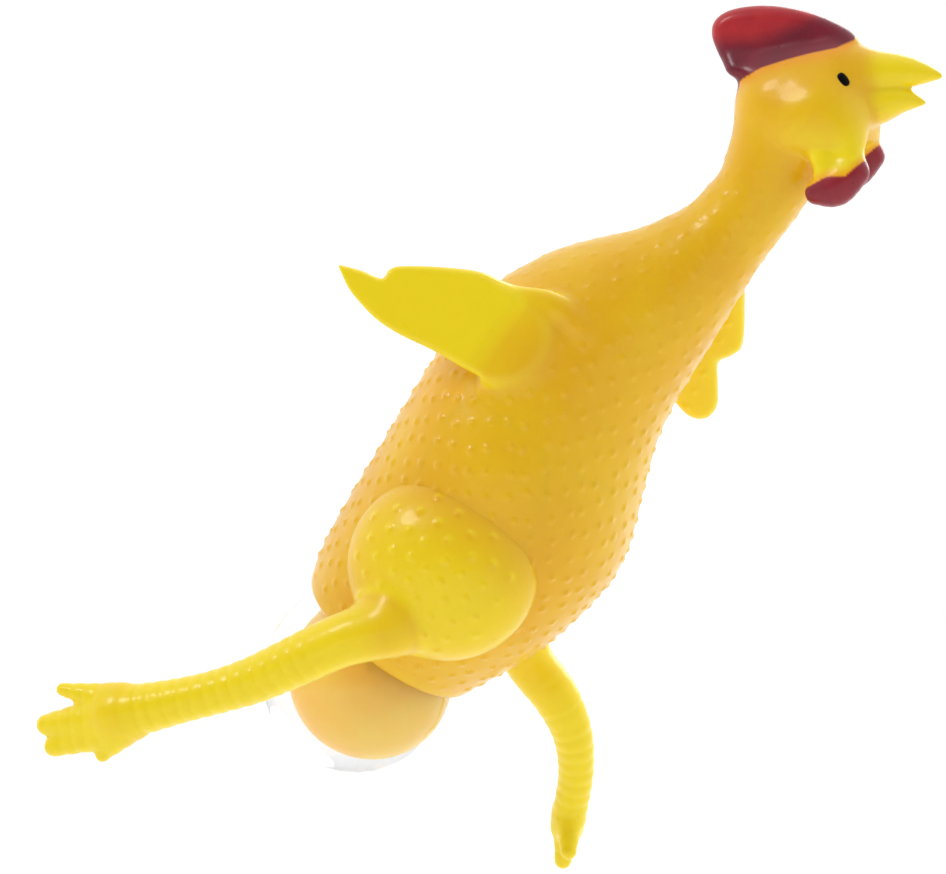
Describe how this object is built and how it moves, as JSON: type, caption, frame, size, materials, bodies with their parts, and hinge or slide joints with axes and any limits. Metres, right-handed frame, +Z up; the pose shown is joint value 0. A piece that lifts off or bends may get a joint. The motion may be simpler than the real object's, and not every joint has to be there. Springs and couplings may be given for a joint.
{
  "type": "squeeze rubber chicken toy",
  "caption": "Soft rubber chicken with a flexing neck, wings and legs; squeezing its flanks pushes a clear water bubble with a yolk out of the vent.",
  "frame": {"origin": "on the torso's long axis, in the middle of the hand's grip", "axes": "+X towards the beak, +Y to the bird's left, +Z up; the torso's long axis leans 38 degrees from +Z towards +X"},
  "size_m": [0.1584, 0.0813, 0.1632],
  "materials": {
    "skin_yellow": "soft glossy translucent rubber with raised pimples",
    "comb_red": "painted rubber, satin",
    "eye_black": "glossy paint",
    "bag_clear": "clear stretched film",
    "water": "clear liquid",
    "yolk_orange": "smooth satin"
  },
  "bodies": {
    "torso": {"torso_shell": "skin_yellow", "bladder": "bag_clear", "bladder_plug": "bag_clear", "water_fill": "water", "egg_bubble": "bag_clear", "egg_white": "water"},
    "yolk": {"yolk_ball": "yolk_orange"},
    "flank_left": {"flank_left": "skin_yellow"},
    "flank_right": {"flank_right": "skin_yellow"},
    "neck_lower": {"neck_lower": "skin_yellow"},
    "neck_upper": {"neck_upper": "skin_yellow"},
    "head": {"head": "skin_yellow", "upper_beak": "skin_yellow", "lower_beak": "skin_yellow", "eye_left": "eye_black", "eye_right": "eye_black"},
    "comb": {"comb": "comb_red"},
    "wattle_left": {"wattle_left": "comb_red"},
    "wattle_right": {"wattle_right": "comb_red"},
    "wing_left": {"wing_left": "skin_yellow"},
    "wing_right": {"wing_right": "skin_yellow"},
    "thigh_left": {"thigh_left": "skin_yellow"},
    "thigh_right": {"thigh_right": "skin_yellow"},
    "shank_left": {"shank_left": "skin_yellow"},
    "shank_right": {"shank_right": "skin_yellow"},
    "foot_left": {"foot_left": "skin_yellow"},
    "foot_right": {"foot_right": "skin_yellow"}
  },
  "joints": [
    {"name": "yolk_travel", "type": "slide", "parent": "torso", "child": "yolk", "axis": [0.6157, 0, 0.788], "range_m": [0, 0.03], "deforming": ["egg_bubble", "egg_white"]},
    {"name": "flank_left_press", "type": "slide", "parent": "torso", "child": "flank_left", "axis": [0, 1, 0], "range_m": [0, 0.0028]},
    {"name": "flank_right_press", "type": "slide", "parent": "torso", "child": "flank_right", "axis": [0, -1, 0], "range_m": [0, 0.0028]},
    {"name": "neck_bend", "type": "hinge", "parent": "torso", "child": "neck_lower", "pos_m": [0.03078, 0, 0.0394], "axis": [0, 1, 0], "range_deg": [-30, 30], "stiffness_Nm_per_rad": 0.1},
    {"name": "neck_sway", "type": "hinge", "parent": "neck_lower", "child": "neck_upper", "pos_m": [0.043, 0, 0.0492], "axis": [0.8541, 0, -0.5201], "range_deg": [-30, 30], "stiffness_Nm_per_rad": 0.06},
    {"name": "head_nod", "type": "hinge", "parent": "neck_upper", "child": "head", "pos_m": [0.0508, 0, 0.062], "axis": [0, 1, 0], "range_deg": [-30, 12], "stiffness_Nm_per_rad": 0.04},
    {"name": "comb_flop", "type": "hinge", "parent": "head", "child": "comb", "pos_m": [0.053, 0, 0.0813], "axis": [1, 0, 0], "range_deg": [-15, 15], "stiffness_Nm_per_rad": 0.001},
    {"name": "wattle_left_swing", "type": "hinge", "parent": "head", "child": "wattle_left", "pos_m": [0.0662, 0.0044, 0.0642], "axis": [1, 0, 0], "range_deg": [-20, 20], "stiffness_Nm_per_rad": 0.001},
    {"name": "wattle_right_swing", "type": "hinge", "parent": "head", "child": "wattle_right", "pos_m": [0.0662, -0.0044, 0.0642], "axis": [1, 0, 0], "range_deg": [-20, 20], "stiffness_Nm_per_rad": 0.001},
    {"name": "wing_left_flap", "type": "hinge", "parent": "torso", "child": "wing_left", "pos_m": [0.0203, 0.0185, 0.0321], "axis": [0.4128, -0.2709, 0.8696], "range_deg": [-20, 60], "stiffness_Nm_per_rad": 0.01},
    {"name": "wing_right_flap", "type": "hinge", "parent": "torso", "child": "wing_right", "pos_m": [0.0106, -0.0178, 0.0312], "axis": [0.5154, 0.2317, 0.825], "range_deg": [-10, 70], "stiffness_Nm_per_rad": 0.01},
    {"name": "hip_left_swing", "type": "hinge", "parent": "torso", "child": "thigh_left", "pos_m": [-0.0025, 0.0236, -0.017], "axis": [0, 1, 0], "range_deg": [-12, 50], "stiffness_Nm_per_rad": 0.06},
    {"name": "hip_right_swing", "type": "hinge", "parent": "torso", "child": "thigh_right", "pos_m": [-0.0025, -0.0236, -0.017], "axis": [0, 1, 0], "range_deg": [-50, 12], "stiffness_Nm_per_rad": 0.06},
    {"name": "hock_left_bend", "type": "hinge", "parent": "thigh_left", "child": "shank_left", "pos_m": [-0.003, 0.0269, -0.034], "axis": [0, 1, 0], "range_deg": [-35, 35], "stiffness_Nm_per_rad": 0.03},
    {"name": "hock_right_bend", "type": "hinge", "parent": "thigh_right", "child": "shank_right", "pos_m": [-0.0195, -0.0269, -0.0232], "axis": [0, 1, 0], "range_deg": [-35, 35], "stiffness_Nm_per_rad": 0.03},
    {"name": "ankle_left_bend", "type": "hinge", "parent": "shank_left", "child": "foot_left", "pos_m": [0.0032, 0.0394, -0.063], "axis": [-0.3613, 0.7816, 0.5084], "range_deg": [-30, 30], "stiffness_Nm_per_rad": 0.003},
    {"name": "ankle_right_bend", "type": "hinge", "parent": "shank_right", "child": "foot_right", "pos_m": [-0.0615, -0.0268, -0.0366], "axis": [0.1761, 0, -0.9844], "range_deg": [-30, 30], "stiffness_Nm_per_rad": 0.003}
  ],
  "couplings": [
    {"joint": "flank_left_press", "follows": "yolk_travel", "ratio": 0.09333},
    {"joint": "flank_right_press", "follows": "yolk_travel", "ratio": 0.09333}
  ]
}
